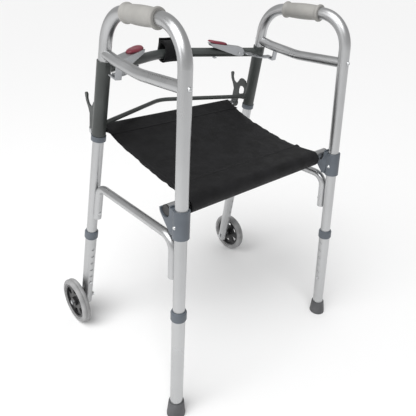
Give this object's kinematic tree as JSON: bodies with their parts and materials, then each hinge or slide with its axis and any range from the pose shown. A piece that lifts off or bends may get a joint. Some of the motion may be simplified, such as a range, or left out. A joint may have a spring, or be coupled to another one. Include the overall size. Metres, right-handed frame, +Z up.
{
  "type": "walking frame",
  "caption": "Folding walking frame with side loops and grips, front wheels, rubber rear tips, palm release levers, adjustable legs and a fold-away sling seat.",
  "frame": {"origin": "on the floor, at the centre of the bottom of the bounding box", "axes": "+X is the user's right, +Y is forwards (the wheels), +Z is up"},
  "size_m": [0.6262, 0.5023, 0.8405],
  "materials": {
    "dark_paint": "satin powder coat",
    "zinc_steel": "bright zinc plate",
    "lever_steel": "satin zinc plate",
    "maroon_plastic": "moulded, fine grain",
    "strap_fabric": "hook-and-loop tape",
    "anodised_tube": "satin anodised",
    "grip_plastic": "soft moulded",
    "grey_plastic": "moulded",
    "black_plastic": "moulded",
    "tyre": "grey rubber",
    "tip_rubber": "matt rubber",
    "seat_fabric": "woven nylon"
  },
  "bodies": {
    "front_frame": {"front_crossbar": "dark_paint", "left_hinge_sleeve": "dark_paint", "right_hinge_sleeve": "dark_paint", "lower_front_bar": "dark_paint", "left_hook_plate": "dark_paint", "right_hook_plate": "dark_paint", "seat_front_rod": "zinc_steel", "hook_plate_bolts": "zinc_steel", "lever_pivot_pins": "zinc_steel", "left_lever_spring": "zinc_steel", "right_lever_spring": "zinc_steel", "tie_strap": "strap_fabric"},
    "seat_front": {"seat_front_panel": "seat_fabric"},
    "seat_rear": {"seat_rear_panel": "seat_fabric", "seat_rear_bar": "anodised_tube", "bar_end_caps": "black_plastic"},
    "left_lever": {"left_release_lever": "lever_steel", "left_paddle": "maroon_plastic", "left_guide_screw": "zinc_steel"},
    "left_side": {"left_side_tube": "anodised_tube", "left_grip": "grip_plastic", "left_upper_brace": "anodised_tube", "left_lower_brace": "anodised_tube", "left_catch_plate": "lever_steel", "left_saddle_bracket": "grey_plastic", "left_hinge_bush": "grey_plastic", "left_side_fasteners": "zinc_steel"},
    "left_front_leg": {"left_front_leg_tube": "anodised_tube", "left_front_collar": "grey_plastic", "left_axle_bolt": "zinc_steel", "left_axle_nut": "zinc_steel"},
    "left_wheel": {"left_wheel_hub": "black_plastic", "left_tyre": "tyre"},
    "left_rear_leg": {"left_rear_leg_tube": "anodised_tube", "left_rear_collar": "grey_plastic", "left_rear_tip": "tip_rubber"},
    "left_front_button": {"left_front_snap_button": "zinc_steel"},
    "left_rear_button": {"left_rear_snap_button": "zinc_steel"},
    "right_lever": {"right_release_lever": "lever_steel", "right_paddle": "maroon_plastic", "right_guide_screw": "zinc_steel"},
    "right_side": {"right_side_tube": "anodised_tube", "right_grip": "grip_plastic", "right_upper_brace": "anodised_tube", "right_lower_brace": "anodised_tube", "right_catch_plate": "lever_steel", "right_saddle_bracket": "grey_plastic", "right_hinge_bush": "grey_plastic", "right_side_fasteners": "zinc_steel"},
    "right_front_leg": {"right_front_leg_tube": "anodised_tube", "right_front_collar": "grey_plastic", "right_axle_bolt": "zinc_steel", "right_axle_nut": "zinc_steel"},
    "right_wheel": {"right_wheel_hub": "black_plastic", "right_tyre": "tyre"},
    "right_rear_leg": {"right_rear_leg_tube": "anodised_tube", "right_rear_collar": "grey_plastic", "right_rear_tip": "tip_rubber"},
    "right_front_button": {"right_front_snap_button": "zinc_steel"},
    "right_rear_button": {"right_rear_snap_button": "zinc_steel"}
  },
  "joints": [
    {"name": "left_side_fold", "type": "hinge", "parent": "front_frame", "child": "left_side", "pos_m": [-0.23698, 0.08676, 0.6], "axis": [0.054, -0.1836, 0.9815], "range_deg": [0, 75], "deforming": ["seat_front_panel", "seat_rear_panel"]},
    {"name": "right_side_fold", "type": "hinge", "parent": "front_frame", "child": "right_side", "pos_m": [0.23698, 0.08676, 0.6], "axis": [0.054, 0.1836, -0.9815], "range_deg": [0, 57.5]},
    {"name": "seat_front_fold", "type": "hinge", "parent": "front_frame", "child": "seat_front", "pos_m": [0, 0.141, 0.56], "axis": [1, 0, 0], "range_deg": [0, 41.75]},
    {"name": "seat_rear_fold", "type": "hinge", "parent": "seat_front", "child": "seat_rear", "pos_m": [0, -0.01147, 0.50829], "axis": [-1, 0, 0], "range_deg": [0, 131.75]},
    {"name": "left_lever_press", "type": "hinge", "parent": "front_frame", "child": "left_lever", "pos_m": [-0.17625, 0.09084, 0.711], "axis": [-0.414, 0.9103, 0], "range_deg": [0, 6.5], "stiffness_Nm_per_rad": 1.5, "springref_deg": -14.32, "deforming": ["left_lever_spring"]},
    {"name": "left_front_leg_slide", "type": "slide", "parent": "left_side", "child": "left_front_leg", "axis": [-0.054, 0.1836, -0.9815], "range_m": [0, 0.12], "deforming": ["left_front_snap_button"]},
    {"name": "left_rear_leg_slide", "type": "slide", "parent": "left_side", "child": "left_rear_leg", "axis": [-0.0549, -0.0501, -0.9972], "range_m": [0, 0.12], "deforming": ["left_rear_snap_button"]},
    {"name": "left_front_button_press", "type": "slide", "parent": "left_side", "child": "left_front_button", "axis": [0.0101, 0.983, 0.1833], "range_m": [0, 0.005], "stiffness_N_per_m": 900},
    {"name": "left_rear_button_press", "type": "slide", "parent": "left_side", "child": "left_rear_button", "axis": [-0.9985, 0, 0.055], "range_m": [0, 0.005], "stiffness_N_per_m": 900},
    {"name": "left_wheel_spin", "type": "hinge", "parent": "left_front_leg", "child": "left_wheel", "pos_m": [-0.297, 0.18712, 0.0635], "axis": [1, 0, 0], "continuous": true},
    {"name": "right_lever_press", "type": "hinge", "parent": "front_frame", "child": "right_lever", "pos_m": [0.17625, 0.09084, 0.711], "axis": [-0.414, -0.9103, 0], "range_deg": [0, 6.5], "stiffness_Nm_per_rad": 1.5, "springref_deg": -14.32, "deforming": ["right_lever_spring"]},
    {"name": "right_front_leg_slide", "type": "slide", "parent": "right_side", "child": "right_front_leg", "axis": [0.054, 0.1836, -0.9815], "range_m": [0, 0.12], "deforming": ["right_front_snap_button"]},
    {"name": "right_rear_leg_slide", "type": "slide", "parent": "right_side", "child": "right_rear_leg", "axis": [0.0549, -0.0501, -0.9972], "range_m": [0, 0.12], "deforming": ["right_rear_snap_button"]},
    {"name": "right_front_button_press", "type": "slide", "parent": "right_side", "child": "right_front_button", "axis": [-0.0101, 0.983, 0.1833], "range_m": [0, 0.005], "stiffness_N_per_m": 900},
    {"name": "right_rear_button_press", "type": "slide", "parent": "right_side", "child": "right_rear_button", "axis": [0.9985, 0, 0.055], "range_m": [0, 0.005], "stiffness_N_per_m": 900},
    {"name": "right_wheel_spin", "type": "hinge", "parent": "right_front_leg", "child": "right_wheel", "pos_m": [0.297, 0.18712, 0.0635], "axis": [1, 0, 0], "continuous": true}
  ],
  "couplings": [
    {"joint": "right_side_fold", "follows": "left_side_fold", "ratio": 0.76},
    {"joint": "seat_front_fold", "follows": "left_side_fold", "ratio": 0.55},
    {"joint": "seat_rear_fold", "follows": "left_side_fold", "ratio": 1.75}
  ]
}
